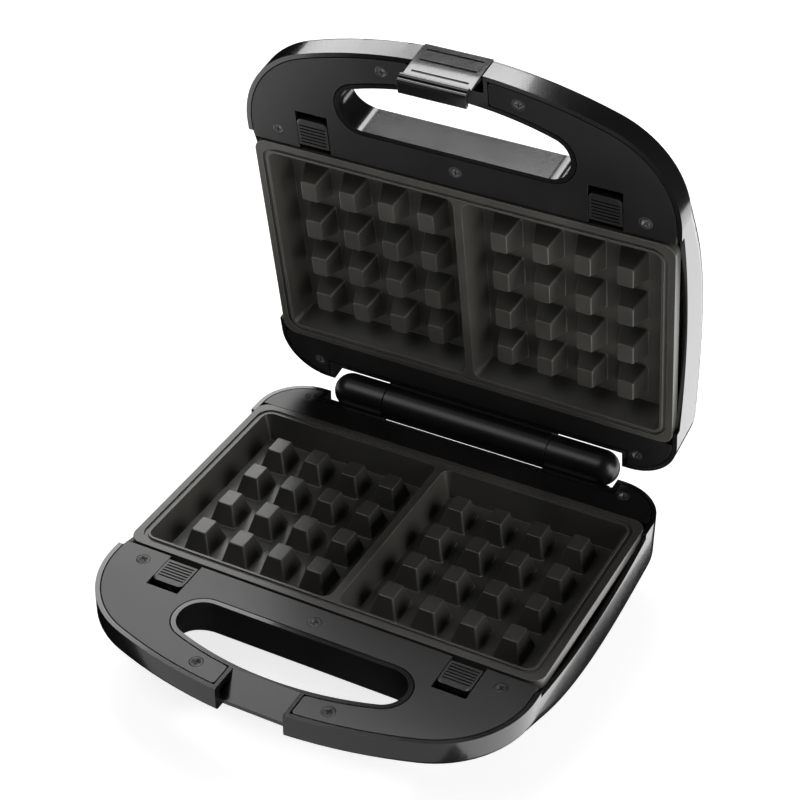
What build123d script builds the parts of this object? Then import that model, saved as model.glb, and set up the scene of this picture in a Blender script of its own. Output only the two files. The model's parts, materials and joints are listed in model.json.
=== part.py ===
from build123d import *
from math import asin, degrees, radians, sin, sqrt
import os

os.makedirs("parts", exist_ok=True)

# A two-slice waffle maker with lift-out plates, resting with its lid open.
# Both halves are mirror images, so each shared piece is modelled once in a half's own frame:
# X along the hinge, Y from the handle towards the hinge axis at Y = 0, and Z = 0 at the plane
# where the closed halves meet, with the half itself below it. All sizes are in millimetres.

# ---- driving dimensions -------------------------------------------------------------------
half_width = 117.2        # hinge-wise half size of the housing
front_reach = 240.2       # hinge axis to the front of the handle
rear_setback = 4.4        # hinge axis to the back of the rear ears
front_radius = 247.3      # the long curve of the handle front
corner_radius = 53.6      # handle front into the side walls
ear_radius = 27.0         # rear corners
wall = 2.4                # moulded housing wall
groove = 0.6              # shadow gap round each cover
cover_thickness = 2.4     # satin covers let into the housings
rim_drop = 1.1            # housing rim below the meeting plane
open_angle = 79.2         # lid angle at rest, from closed
feet_plane = -46.6        # the resting plane in the lower half's frame

handle_depth = 15.1       # underside of the handle below the meeting plane
handle_edge = 2.6         # rounding of the handle's underside
belly_edge = 12.0         # rounding of the domed back
belly_start = -208.0      # where the dome leaves the handle
notch_half_width = 86.6   # recess for the hinge barrel in the rear wall
notch_setback = 14.4

stud_centre = -98.4       # middle of the stud field
plate_side_gap = 0.2      # plate to the housing's side wall
plate_length = 134.1
plate_centre = stud_centre - 1.3
plate_top = -0.4
plate_skirt = 6.2         # height of the plate's outer skirt
plate_corner = 7.0
plate_wall = 2.4
plate_band = 7.0          # plate's edge to the outer lip of a cavity
cavity_length = 120.4
cavity_corner = 5.0
divider_half = 2.2        # half width of the ridge between the cavities
cavity_floor = -15.1
cavity_draft = 17.0
stud_pitch_x = 22.5
stud_pitch_y = 25.7
stud_count = 4
stud_base_x = 15.4
stud_base_y = 18.6
stud_height = 12.0
stud_draft = 15.8
stud_corner = 1.0
cavity_middle = 54.04     # middle of one cavity's stud field from the plate's middle

grip_half_length = 61.5   # finger opening
grip_rear = -188.6
grip_depth = 60.0         # more than the opening's own depth
grip_front_radius = 165.1
grip_setback = 18.4       # front of the handle to the front edge of the opening
grip_corner = 12.0

block_half_width = 20.2   # solid middle of the handle that carries the latch or its catch
block_length = 30.0
cover_gap_half = 20.8     # covers stop this far either side of the middle of the handle
cover_bridge = 13.0       # middle screw to the end of that gap
cover_corner = 1.6
latch_width = 35.4
latch_gap = 0.5
latch_wall = 2.4
latch_reach = 14.6        # latch runs this far either side of the meeting plane
latch_pin_setback = 6.2   # these setbacks run from the front of the handle
latch_pin_z = -9.6
latch_pin_radius = 1.5
latch_knuckle = 4.0
latch_flush = 0.3         # flat face set in to meet the curved handle at its ends
latch_grooves = (-10.4, -2.2, 6.4)
latch_groove_size = (1.5, 1.2)
latch_groove_end = 3.0
latch_edge = 0.6
latch_spring_slot = 10.0
latch_spring_room = 3.0
latch_coil = 7.0
latch_turns = 6
latch_wire = 0.7
latch_spring_radius = 2.3
latch_leg = 4.0
pocket_setback = 10.4     # back wall of the latch pocket in the lid's handle
hook_setback = 7.8
hook_inner = 13.6
catch_setback = 4.8       # front edge of the catch that the hook snaps under
catch_top = -10.5
catch_under = -12.8
catch_depth = 6.4
catch_floor = -20.0
ramp_length = 12.5        # from the catch's edge back to the top of the handle
relief_setback = 8.2      # relief beside the catch
relief_size = (7.0, 5.0)
relief_level = -7.0

button_x = 78.75          # release buttons
button_width = 17.0
button_length = 16.0
button_setback = 3.85     # plate's front edge to the back of a button
button_travel = 4.0
button_rise = 0.3
button_corner = 2.6
pocket_side = 0.5
pocket_end = 0.3          # left in front of a button pushed home
rib_count = 6
rib_pitch = 2.0
rib_depth = 0.6
rib_cut = 0.9
rib_margin = 1.2
rib_setback = 1.0
tongue_setback = 1.45     # plate's front edge to the tip of a button's tongue
tongue_gap = 0.2          # under the tongue, over the lug
tongue_thickness = 1.5
flange_gap = 0.2          # between a button's flange and the cover over it
flange_out = 1.5
flange_in = 2.0
flange_thickness = 1.4
post_size = (7.0, 4.0)    # post under a button that the return spring pushes on
post_drop = 5.0
spring_seat_gap = 6.6     # pocket to the middle of the rib that each return spring pushes on
spring_rib = 1.6
spring_rib_width = 10.0
spring_level = -7.4
spring_radius = 1.8
spring_wire = 0.5
spring_turns = 7

screw_outer = (99.0, -176.4)
screw_grip_x = 35.7
screw_grip_setback = 12.6
screw_middle = (0.0, -177.3)
screw_rear = (94.5, -16.1)
screw_head = 3.4
screw_head_depth = 1.3
screw_shank = 1.45
screw_length = 9.0
screw_clearance = 0.3
head_clearance = 0.1
head_sink = 0.05
cross_length = 3.74       # cross recess in a screw's head
cross_width = 0.7
cross_depth = 1.0
pan_screw_length = 6.0
boss_radius = 3.6

barrel_radius = 9.8
barrel_left = -52.6       # ends of the lid's length of barrel
barrel_right = 45.7
barrel_gap = 0.4
barrel_edge = 0.4
cap_end = 85.3            # outer end of each rounded cap
pin_radius = 4.0
pin_bore = 2.0
pin_clearance = 0.1
pin_reach = 16.0

saddle_back = 2.0         # hinge axis to the back of each saddle block
saddle_top = 3.0          # blocks stop this far below the meeting plane
saddle_depth = 18.0
saddle_end = 84.0
inlet_level = -22.0
inlet_radius = 5.2
inlet_flange = 7.0
inlet_bore = 3.4
inlet_lip = 2.0
inlet_back = 1.5

lamp_place = (14.0, -176.0)
lamp_radius = 2.2
lamp_seat = -11.0
lamp_holder_height = 3.0
lamp_holder_margin = 6.0
lamp_holder_width = 10.0
lamp_holder_corner = 3.0
lens_radius = 3.2
lens_top = -21.5
block_posts = (30.0, 50.0)   # terminal block
block_y = -40.0
terminal_pitch = 9.0
block_level = -32.5
block_height = 6.0
block_size = (34.0, 12.0)
terminal_clearance = 0.2
thermostat_radius = 8.0
thermostat_depth = 7.0
blade_place = 10.0
blade_size = (6.5, 5.0, 0.8)
fuse_ends = (-52.0, -28.0)
fuse_radius = 2.0
clamp_size = 8.0
lead_radius = 1.0
cable_radius = 1.2        # the sheathed cable that crosses the hinge
cable_clearance = 0.3
cable_turn = 5.0          # past the pin's end to the cable's turn inside the left cap
cable_split = 0.3         # the cable's two halves stop this far apart
cable_margin = 0.5
lid_bend = 20.0           # hinge-wise place where the cable turns into the lid
cable_drop = (-20.0, -16.0)  # where that cable comes out inside a housing
wire_bend = 4.0
wire_reach = 101.0        # hinge-wise place where leads pass through a pan's floor
lead_clearance = 0.6

skirt_wall = 1.8
bead_out = 3.4            # groove between a cavity's lip and the plate's edge
bead_in = 1.3
bead_depth = 1.0
lug_width = 10.0
lug_reach = 3.5
lug_top = -6.8
lug_thickness = 1.8
plate_gap = 1.1           # between the plate and the covers
dip_setback = 4.35        # the side walls dip beside the plate to show its skirt
dip_start = -4.0
dip_middle = (-105.0, -11.4)
dip_rear = (-40.4, -4.4)

pan_margin = 2.9          # pan's outside beyond a cavity's lip
pan_floor = -25.0
pan_sheet = 0.8
pan_corner = 8.0
pan_rim = -7.0
pan_places = ((96.0, -146.0), (96.0, -50.0))
hook_height = 8.0
hook_sheet = 1.2
hook_gap = 0.8
hook_overlap = 2.4
hook_clearance = 0.3
element_radius = 3.25
element_level = -21.0
element_loop = 32.0       # half the distance between the rod's two runs
element_end = 88.0
terminal_pin = (1.3, 6.0)     # radius and length of the pin at each end of the rod
cradle_places = (-30.0, 40.0)
cradle_size = (6.0, 12.0)
foot_places = ((85.0, -148.4), (85.0, -48.4))
foot_radius = 7.0
foot_height = 3.6
foot_sink = 1.6
foot_edge = 0.5
foot_boss_radius = 9.0

# ---- worked-out places ---------------------------------------------------------------------
rim_top = -rim_drop
inner_top = 4.0           # cutting tools run past the rim by this much
deep = 60.0               # more than a half's depth
margin = 5.0              # cutting tools run past the sides by this much
front_centre = front_radius - front_reach
corner_x = half_width - corner_radius
corner_y = front_centre - sqrt((front_radius - corner_radius) ** 2 - corner_x ** 2)
sweep_angle = degrees(asin(corner_x / (front_radius - corner_radius)))
plate_width = 2 * (half_width - wall - plate_side_gap)
cavity_half = plate_width / 2 - plate_band
plate_front = plate_centre - plate_length / 2
plate_rear = plate_centre + plate_length / 2
cover_rear = plate_front - plate_gap
dip_front = (plate_front - dip_setback, dip_start)
button_rear = plate_front - button_setback
tongue_tip = plate_front - tongue_setback
pocket_front = button_rear - button_length - button_travel - pocket_end
spring_seat = pocket_front - spring_seat_gap
latch_pin_y = latch_pin_setback - front_reach
pocket_back = pocket_setback - front_reach
hook_tip = hook_setback - front_reach
catch_edge = catch_setback - front_reach
catch_back = catch_edge + catch_depth
catch_ramp = catch_edge + ramp_length
relief_y = relief_setback - front_reach
screw_grip = (screw_grip_x, screw_grip_setback - front_reach)
screw_seat = (screw_shank + screw_clearance, screw_head + head_clearance, screw_head_depth + head_sink)
hinge = Location((0, -stud_centre, -feet_plane))
lower = hinge
upper = hinge * Location((0, 0, 0), (-open_angle, 0, 0)) * Location((0, 0, 0), (0, 180, 0))
halves = (("lower", lower, 1), ("upper", upper, -1))   # the lid's own X runs the other way
wire_level = block_level + block_height / 2
block_middle = sum(block_posts) / len(block_posts)
pan_width = 2 * (cavity_half + pan_margin)
pan_length = cavity_length + 2 * pan_margin
rod_places = (stud_centre - element_loop, stud_centre + element_loop)
cap_bend = barrel_left - barrel_gap - pin_reach - cable_turn
cable_joint = barrel_left + pin_reach + cable_margin
hinge_route = [(cable_joint - cable_split, 0, 0), (cap_bend, 0, 0), (cap_bend, *cable_drop)]
lid_route = [(-cable_joint, 0, 0), (lid_bend, 0, 0), (lid_bend, *cable_drop)]


# ---- helpers ------------------------------------------------------------------------------
def write(piece, name, place=hinge):
    """Puts a finished piece in its place on the open appliance and writes it."""
    with BuildPart() as placed:
        with Locations(place):
            add(piece)
    placed.part.label = name
    export_step(placed.part, "parts/" + name + ".step")


def both_sides(*places):
    """Each place with its mirror image."""
    return [(side * x, y) for x, y in places for side in (-1, 1)]


cover_seat = rim_top - cover_thickness
front_screws = both_sides(screw_outer, screw_grip) + [screw_middle]
rear_screws = both_sides(screw_rear)
pan_posts = both_sides(*pan_places)
post_places = [(place, cover_seat) for place in front_screws + rear_screws]
post_places += [(place, pan_floor - pan_sheet) for place in pan_posts]


def outline(inset):
    """Plan of a half: a long curved front, straight sides and rounded rear ears."""
    side = half_width - inset
    ear = ear_radius - inset
    rear = -rear_setback - inset
    with BuildSketch(Plane.XY) as plan:
        with BuildLine():
            CenterArc((0, front_centre), front_radius - inset, 270 - sweep_angle, 2 * sweep_angle)
            CenterArc((corner_x, corner_y), corner_radius - inset, 270 + sweep_angle, 90 - sweep_angle)
            Line((side, corner_y), (side, rear - ear))
            CenterArc((side - ear, rear - ear), ear, 0, 90)
            Line((side - ear, rear), (ear - side, rear))
            CenterArc((ear - side, rear - ear), ear, 90, 90)
            Line((-side, rear - ear), (-side, corner_y))
            CenterArc((-corner_x, corner_y), corner_radius - inset, 180, 90 - sweep_angle)
        make_face()
    return plan.sketch


def grip(outset):
    """Plan of the finger opening, with its front edge parallel to the handle."""
    with BuildSketch(Plane.XY) as plan:
        with Locations((0, grip_rear - grip_depth / 2)):
            Rectangle(2 * grip_half_length, grip_depth)
        with Locations((0, grip_front_radius + grip_setback - front_reach)):
            Circle(grip_front_radius, mode=Mode.INTERSECT)
        fillet(plan.vertices(), grip_corner)
        if outset:
            offset(amount=outset)
    return plan.sketch


def belly_points(lift):
    """Side view of the domed back, from the handle to the hinge."""
    knots = ((0.0, -14.8), (60.0, -35.2), (122.0, -42.5), (162.0, -39.0), (204.0, -31.0))
    return [(belly_start + y, z + lift) for y, z in knots]


def body_form(inset, top):
    """The closed outer form of a half, made smaller all round by inset."""
    with BuildPart() as form:
        with BuildSketch(Plane.XY.offset(top)):
            add(outline(inset))
        extrude(amount=-deep)
        with BuildSketch(Plane.YZ):
            with BuildLine():
                belly = Spline(belly_points(inset), tangents=((1, -0.2), (1, 0.3)))
                Polyline(belly @ 1, (margin, (belly @ 1).Y), (margin, top), (belly_start, top), belly @ 0)
            make_face()
        extrude(amount=half_width + margin, both=True, mode=Mode.INTERSECT)
        under = form.faces().filter_by(lambda face: face.normal_at().Z < -0.5)
        rims = under.edges().filter_by(lambda edge: edge.center().Y > belly_start + 1)
        fillet(rims, belly_edge - inset)
    with BuildPart() as slab:
        with BuildSketch(Plane.XY.offset(inset - handle_depth)):
            add(outline(inset))
            with Locations((0, plate_front - front_reach)):
                Rectangle(2 * front_reach, 2 * front_reach, mode=Mode.INTERSECT)
        extrude(amount=top + handle_depth - inset)
        low = slab.edges().group_by(Axis.Z)[0].filter_by(lambda edge: edge.center().Y < plate_front - 1)
        fillet(low, handle_edge)
    with BuildPart() as whole:
        add(form.part)
        add(slab.part)
    return whole.part


def hollow(bosses):
    """The space inside a housing, which leaves its walls and screw posts standing."""
    with BuildPart() as space:
        add(body_form(wall, inner_top))
        with Locations((0, -(notch_setback + wall) / 2, 0)):
            Box(2 * (notch_half_width + wall), notch_setback + wall, 2 * deep, mode=Mode.SUBTRACT)
        with BuildSketch(Plane.XY.offset(-deep)):
            add(grip(wall))
            with Locations((0, -front_reach + block_length / 2)):
                Rectangle(2 * block_half_width, block_length)
        extrude(amount=2 * deep, mode=Mode.SUBTRACT)
        with BuildSketch(Plane.XY.offset(-deep)):
            with Locations(*both_sides((button_x, spring_seat))):
                Rectangle(spring_rib_width, spring_rib)
        extrude(amount=deep + cover_seat, mode=Mode.SUBTRACT)
        for place, top in bosses:
            with BuildSketch(Plane.XY.offset(-deep)):
                with Locations(place):
                    Circle(boss_radius)
            extrude(amount=deep + top, mode=Mode.SUBTRACT)
    return space.part


def housing(extra_posts=()):
    """What both housings share: domed shell, handle, finger opening and barrel recess."""
    with BuildPart() as shell:
        add(body_form(0, rim_top))
        with Locations((0, margin - notch_setback / 2, 0)):
            Box(2 * notch_half_width, notch_setback + 2 * margin, 2 * deep, mode=Mode.SUBTRACT)
        add(hollow(post_places + list(extra_posts)), mode=Mode.SUBTRACT)
        with BuildSketch(Plane.XY.offset(-deep)):
            add(grip(0))
        extrude(amount=2 * deep, mode=Mode.SUBTRACT)
        with BuildSketch(Plane.YZ):
            with BuildLine():
                dip = ThreePointArc(dip_front, dip_middle, dip_rear)
                Polyline(dip @ 1, (dip_rear[0], inner_top), (dip_front[0], inner_top), dip @ 0)
            make_face()
        extrude(amount=half_width + margin, both=True, mode=Mode.SUBTRACT)
        with Locations(*[(x, y, cover_seat) for x, y in front_screws + rear_screws]):
            Hole(screw_shank, screw_length)
        with Locations(*[(x, y, pan_floor - pan_sheet) for x, y in pan_posts]):
            Hole(screw_shank, pan_screw_length)
    return shell.part


def hinge_saddle(left, right):
    """Block behind the barrel recess, hollowed to the barrel's curve."""
    with BuildPart() as block:
        with Locations(((left + right) / 2, -(notch_setback + wall) / 2 - saddle_back / 2, 0)):
            Box(right - left, notch_setback + wall - saddle_back, 2 * saddle_depth)
        split(bisect_by=Plane.XY.offset(-saddle_top), keep=Keep.BOTTOM)
        with BuildSketch(Plane.YZ):
            Circle(barrel_radius)
        extrude(amount=half_width, both=True, mode=Mode.SUBTRACT)
    return block.part


def front_cover():
    """Satin cover round the finger opening, with slots for the release buttons."""
    inset = wall + groove
    with BuildPart() as cover:
        with BuildSketch(Plane.XY.offset(cover_seat)) as plan:
            add(outline(inset))
            with Locations((0, cover_rear - front_reach)):
                Rectangle(2 * front_reach, 2 * front_reach, mode=Mode.INTERSECT)
            with Locations((0, -front_reach)):
                gap_length = front_reach + screw_middle[1] - cover_bridge
                Rectangle(2 * cover_gap_half, 2 * gap_length, mode=Mode.SUBTRACT)
            add(grip(wall + groove), mode=Mode.SUBTRACT)
            with Locations(*both_sides((button_x, (pocket_front + cover_rear) / 2))):
                Rectangle(button_width + 2 * pocket_side, cover_rear - pocket_front, mode=Mode.SUBTRACT)
            ends = plan.vertices().filter_by(lambda spot: abs(abs(spot.X) - cover_gap_half) < 0.01)
            fillet(ends, cover_corner)
        extrude(amount=cover_thickness)
        with Locations(*[(x, y, rim_top) for x, y in front_screws]):
            CounterBoreHole(*screw_seat)
    return cover.part


def rear_cover():
    """Satin cover over the rear ears and the strip in front of the barrel."""
    inset = wall + groove
    with BuildPart() as cover:
        with BuildSketch(Plane.XY.offset(cover_seat)):
            add(outline(inset))
            with Locations((0, plate_rear + plate_gap + front_reach)):
                Rectangle(2 * front_reach, 2 * front_reach, mode=Mode.INTERSECT)
            with Locations((0, -(notch_setback + inset) / 2)):
                Rectangle(2 * (notch_half_width + inset), notch_setback + inset, mode=Mode.SUBTRACT)
        extrude(amount=cover_thickness)
        with Locations(*[(x, y, rim_top) for x, y in rear_screws]):
            CounterBoreHole(*screw_seat)
    return cover.part


def screws(places, top, length):
    """Cross-recessed screws, one solid each, with their heads flush at top."""
    with BuildPart() as group:
        for x, y in places:
            with BuildSketch(Plane.XY.offset(top)):
                with Locations((x, y)):
                    Circle(screw_head)
            extrude(amount=-screw_head_depth)
            with BuildSketch(Plane.XY.offset(top - screw_head_depth)):
                with Locations((x, y)):
                    Circle(screw_shank)
            extrude(amount=-length)
            with BuildSketch(Plane.XY.offset(top)):
                with Locations((x, y)):
                    Rectangle(cross_length, cross_width)
                    Rectangle(cross_width, cross_length)
            extrude(amount=-cross_depth, mode=Mode.SUBTRACT)
    return group.part


def cavities(outset, drop):
    """Both tapered waffle cavities, grown by outset and lowered by drop."""
    with BuildPart() as pits:
        with BuildSketch(Plane.XY.offset(plate_top - drop)):
            with Locations(((cavity_half + divider_half) / 2, plate_centre)):
                width = cavity_half - divider_half + 2 * outset
                RectangleRounded(width, cavity_length + 2 * outset, cavity_corner + outset)
        extrude(amount=cavity_floor - plate_top, taper=cavity_draft)
        mirror(about=Plane.YZ)
    return pits.part


def bead_ring(grow):
    """Rounded rectangle that follows the lips of the cavities."""
    with BuildSketch(Plane.XY.offset(plate_top)) as ring:
        with Locations((0, plate_centre)):
            RectangleRounded(2 * (cavity_half + grow), cavity_length + 2 * grow, cavity_corner + grow)
    return ring.sketch


def waffle_plate():
    """Cast non-stick plate: two cavities of tapered studs, a bead, a skirt and four lugs."""
    with BuildPart() as plate:
        with BuildSketch(Plane.XY.offset(plate_top)):
            with Locations((0, plate_centre)):
                RectangleRounded(plate_width, plate_length, plate_corner)
        extrude(amount=-plate_skirt)
        with BuildSketch(Plane.XY.offset(plate_top - plate_wall)):
            with Locations((0, plate_centre)):
                width = plate_width - 2 * skirt_wall
                RectangleRounded(width, plate_length - 2 * skirt_wall, plate_corner - skirt_wall)
        extrude(amount=-plate_skirt, mode=Mode.SUBTRACT)
        add(cavities(plate_wall, plate_wall))
        with BuildSketch(Plane.XY.offset(plate_top)):
            add(bead_ring(bead_out))
            add(bead_ring(bead_in), mode=Mode.SUBTRACT)
        extrude(amount=-bead_depth, mode=Mode.SUBTRACT)
        add(cavities(0, 0), mode=Mode.SUBTRACT)
        with BuildSketch(Plane.XY.offset(cavity_floor)):
            with Locations((-cavity_middle, stud_centre), (cavity_middle, stud_centre)):
                with GridLocations(stud_pitch_x, stud_pitch_y, stud_count, stud_count):
                    RectangleRounded(stud_base_x, stud_base_y, stud_corner)
        extrude(amount=stud_height, taper=stud_draft)
        for y, out in ((plate_front, -1), (plate_rear, 1)):
            with BuildSketch(Plane.XY.offset(lug_top)):
                with Locations(*both_sides((button_x, y + out * (lug_reach - skirt_wall) / 2))):
                    Rectangle(lug_width, lug_reach + skirt_wall)
            extrude(amount=-lug_thickness)
            with BuildSketch(Plane.XY.offset(plate_top - plate_wall)):
                with Locations(*both_sides((button_x, y - out * skirt_wall / 2))):
                    Rectangle(lug_width, skirt_wall)
            extrude(amount=lug_top - lug_thickness - plate_top + plate_wall)
    return plate.part


def heat_pan():
    """Pressed steel pan under the plate that throws the heat upwards."""
    with BuildPart() as pan:
        with BuildSketch(Plane.XY.offset(pan_floor - pan_sheet)):
            with Locations((0, plate_centre)):
                RectangleRounded(pan_width, pan_length, pan_corner)
        extrude(amount=pan_sheet + pan_rim - pan_floor)
        with BuildSketch(Plane.XY.offset(pan_floor)):
            with Locations((0, plate_centre)):
                inside = pan_corner - pan_sheet
                RectangleRounded(pan_width - 2 * pan_sheet, pan_length - 2 * pan_sheet, inside)
        extrude(amount=pan_rim - pan_floor, mode=Mode.SUBTRACT)
        with Locations(*[(x, y, pan_floor) for x, y in pan_posts]):
            Hole(screw_shank + screw_clearance, 2 * pan_sheet)
        with Locations(*[(wire_reach, y, pan_floor) for y in rod_places]):
            Hole(lead_radius + lead_clearance, 2 * pan_sheet)
    return pan.part


def element():
    """Sheathed heating rod bent into one long loop, with a terminal pin at each cold end."""
    with BuildPart() as rod:
        near, far = rod_places
        with BuildLine(Plane.XY.offset(element_level)) as route:
            first = Line((element_end, near), (element_loop - element_end, near))
            bend = ThreePointArc(first @ 1, (-element_end, stud_centre), (element_loop - element_end, far))
            Line(bend @ 1, (element_end, far))
        with BuildSketch(Plane(origin=route.line @ 0, z_dir=route.line % 0)):
            Circle(element_radius)
        sweep()
        for y in (near, far):
            with BuildSketch(Plane(origin=(element_end, y, element_level), z_dir=(1, 0, 0))):
                Circle(terminal_pin[0])
            extrude(amount=terminal_pin[1])
    return rod.part


def element_cradles():
    """Four stamped saddles that carry the rod clear of the pan."""
    with BuildPart() as group:
        height = element_level - pan_floor
        with Locations(*[(x, y, pan_floor + height / 2) for x in cradle_places for y in rod_places]):
            Box(*cradle_size, height)
        with BuildSketch(Plane.YZ):
            with Locations(*[(y, element_level) for y in rod_places]):
                Circle(element_radius)
        extrude(amount=half_width, both=True, mode=Mode.SUBTRACT)
    return group.part


def plate_hooks():
    """Two steel hooks at the back that hold down the plate's rear lugs."""
    with BuildPart() as group:
        lug_tip = plate_rear + lug_reach
        lip = hook_overlap + hook_gap + hook_sheet
        lip_level = lug_top + hook_clearance + hook_sheet / 2
        for x in (-button_x, button_x):
            with Locations((x, lug_tip + hook_gap + hook_sheet / 2, cover_seat - hook_height / 2)):
                Box(lug_width, hook_sheet, hook_height)
            with Locations((x, lug_tip + lip / 2 - hook_overlap, lip_level)):
                Box(lug_width, lip, hook_sheet)
    return group.part


def button(side):
    """Ribbed sliding button with a tongue over the plate's front lug."""
    x = side * button_x
    middle = button_rear - button_length / 2
    flange_top = cover_seat - flange_gap
    with BuildPart() as slider:
        with BuildSketch(Plane.XY.offset(flange_top)) as cap:
            with Locations((x, middle)):
                Rectangle(button_width, button_length)
            fillet(cap.vertices().group_by(Axis.Y)[0], button_corner)
        extrude(amount=rim_top + button_rise - flange_top)
        with BuildSketch(Plane.XY.offset(rim_top + button_rise)):
            with Locations((x, middle + rib_setback)):
                with GridLocations(1, rib_pitch, 1, rib_count):
                    Rectangle(button_width - 2 * rib_margin, rib_cut)
        extrude(amount=-rib_depth, mode=Mode.SUBTRACT)
        with BuildSketch(Plane.XY.offset(flange_top)):
            with Locations((x, middle)):
                Rectangle(button_width + 2 * flange_out, button_length - 2 * flange_in)
        extrude(amount=-flange_thickness)
        with BuildSketch(Plane.XY.offset(lug_top + tongue_gap + tongue_thickness)):
            with Locations((x, (tongue_tip + middle) / 2)):
                Rectangle(lug_width, tongue_tip - middle)
        extrude(amount=-tongue_thickness)
        with BuildSketch(Plane.XY.offset(flange_top - flange_thickness)):
            with Locations((x, middle)):
                Rectangle(*post_size)
        extrude(amount=-post_drop)
    return slider.part


def coil(side):
    """Return spring between the button's post and the rib in front of it."""
    start = spring_seat + spring_rib / 2
    length = button_rear - button_length / 2 - post_size[1] / 2 - start
    rise = length - spring_wire
    base = (side * button_x, start + spring_wire / 2, spring_level)
    with BuildPart() as spring:
        with BuildLine():
            path = Helix(rise / spring_turns, rise, spring_radius, center=base, direction=(0, 1, 0))
        with BuildSketch(Plane(origin=path @ 0, z_dir=path % 0)):
            Circle(spring_wire / 2)
        sweep(is_frenet=True)
    return spring.part


def lower_housing():
    """Base shell with the latch catch, saddles for the hinge caps, foot bosses and cord hole."""
    with BuildPart() as shell:
        add(housing([((x, block_y), block_level) for x in block_posts]))
        with BuildSketch(Plane.YZ):
            with BuildLine():
                Polyline((catch_ramp, rim_top), (catch_edge, catch_top), (catch_edge, catch_under),
                         (catch_back, catch_under), (catch_back, catch_floor),
                         (-front_reach - margin, catch_floor), (-front_reach - margin, inner_top),
                         (catch_ramp, inner_top), close=True)
            make_face()
        extrude(amount=latch_width / 2 + latch_gap, both=True, mode=Mode.SUBTRACT)
        with Locations(*[(side * block_half_width, relief_y, relief_level) for side in (-1, 1)]):
            Box(2 * (block_half_width - latch_width / 2 - latch_gap), *relief_size, mode=Mode.SUBTRACT)
        add(hinge_saddle(-saddle_end, barrel_left - barrel_gap))
        add(hinge_saddle(barrel_right + barrel_gap, saddle_end))
        with BuildSketch(Plane.XY.offset(feet_plane + foot_height - foot_sink)):
            with Locations(*both_sides(*foot_places)):
                Circle(foot_boss_radius)
        extrude(until=Until.NEXT)
        with BuildSketch(Plane.XY.offset(feet_plane)):
            with Locations(*both_sides(*foot_places)):
                Circle(foot_radius)
        extrude(amount=foot_height, mode=Mode.SUBTRACT)
        with BuildSketch(Plane.XZ.offset(notch_setback - wall)):
            with Locations((0, inlet_level)):
                Circle(inlet_radius)
        extrude(amount=3 * wall, mode=Mode.SUBTRACT)
        add(lead(hinge_route, cable_radius + cable_clearance), mode=Mode.SUBTRACT)
    return shell.part


def upper_housing():
    """Lid shell with the latch pocket, its pin seats, the barrel saddle and two lamp holes."""
    with BuildPart() as shell:
        add(housing())
        with Locations((0, pocket_back - front_reach, 0)):
            Box(latch_width + 2 * latch_gap, 2 * front_reach, deep, mode=Mode.SUBTRACT)
        with BuildSketch(Plane.YZ):
            with Locations((latch_pin_y, latch_pin_z)):
                Circle(latch_pin_radius)
        extrude(amount=block_half_width, both=True, mode=Mode.SUBTRACT)
        add(hinge_saddle(barrel_gap - barrel_right, -barrel_gap - barrel_left))
        with BuildSketch(Plane.XY.offset(-deep)):
            with Locations(*both_sides(lamp_place)):
                Circle(lens_radius)
        extrude(amount=deep + lens_top, mode=Mode.SUBTRACT)
        add(lead(lid_route, cable_radius + cable_clearance), mode=Mode.SUBTRACT)
    return shell.part


def lamp_lens(side):
    """Clear lens that ends flush with the lid's skin."""
    x, y = lamp_place
    with BuildPart() as lens:
        with BuildSketch(Plane.XY.offset(lens_top)):
            with Locations((side * x, y)):
                Circle(lens_radius)
        extrude(amount=-deep)
        add(body_form(0, rim_top), mode=Mode.INTERSECT)
    return lens.part


def lamps():
    """Two small neon tubes standing over the lenses."""
    with BuildPart() as group:
        with BuildSketch(Plane.XY.offset(lens_top)):
            with Locations(*both_sides(lamp_place)):
                Circle(lamp_radius)
        extrude(amount=lamp_seat - lens_top)
    return group.part


def lamp_holder():
    """Moulded bar on the middle screw post that carries both neon tubes."""
    with BuildPart() as bar:
        with BuildSketch(Plane.XY.offset(lamp_seat)):
            with Locations((0, lamp_place[1])):
                length = 2 * (lamp_place[0] + lamp_holder_margin)
                RectangleRounded(length, lamp_holder_width, lamp_holder_corner)
            with Locations(screw_middle):
                Circle(boss_radius, mode=Mode.SUBTRACT)
        extrude(amount=lamp_holder_height)
    return bar.part


def latch_clip():
    """Latch that wraps the front of both handles and hooks under the lower one."""
    face = -front_reach + latch_flush
    inside = face + latch_wall
    with BuildPart() as clip:
        with BuildSketch(Plane.YZ):
            with BuildLine():
                Line((face, -latch_reach), (face, 0.6))
                Line((face, 0.6), (face + 0.8, 10.6))
                ThreePointArc((face + 0.8, 10.6), (face - 1.3, 12.2), (face + 0.2, 13.8))
                ThreePointArc((face + 0.2, 13.8), (face - 0.1, 15.6), (face + 1.8, 15.9))
                Polyline((face + 1.8, 15.9), (hook_tip, 15.9), (hook_tip, hook_inner),
                         (inside, hook_inner), (inside, latch_pin_z + latch_knuckle),
                         (latch_pin_y, latch_pin_z + latch_knuckle), (latch_pin_y, -latch_reach),
                         (face, -latch_reach))
            make_face()
            with Locations((latch_pin_y, latch_pin_z)):
                Circle(latch_knuckle)
                Circle(latch_pin_radius + pin_clearance, mode=Mode.SUBTRACT)
        extrude(amount=latch_width / 2, both=True)
        with Locations((0, inside + latch_knuckle, latch_pin_z)):
            slot_height = 2 * latch_knuckle + latch_spring_room
            Box(latch_spring_slot, 2 * latch_knuckle, slot_height, mode=Mode.SUBTRACT)
        with Locations(*[(0, face, level) for level in latch_grooves]):
            Box(latch_width - 2 * latch_groove_end, *latch_groove_size, mode=Mode.SUBTRACT)
        edges = clip.edges().filter_by(Axis.X).sort_by(Axis.Y)[:2]
        fillet(edges.filter_by(lambda edge: edge.center().Z < 0), latch_edge)
    return clip.part


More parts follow.
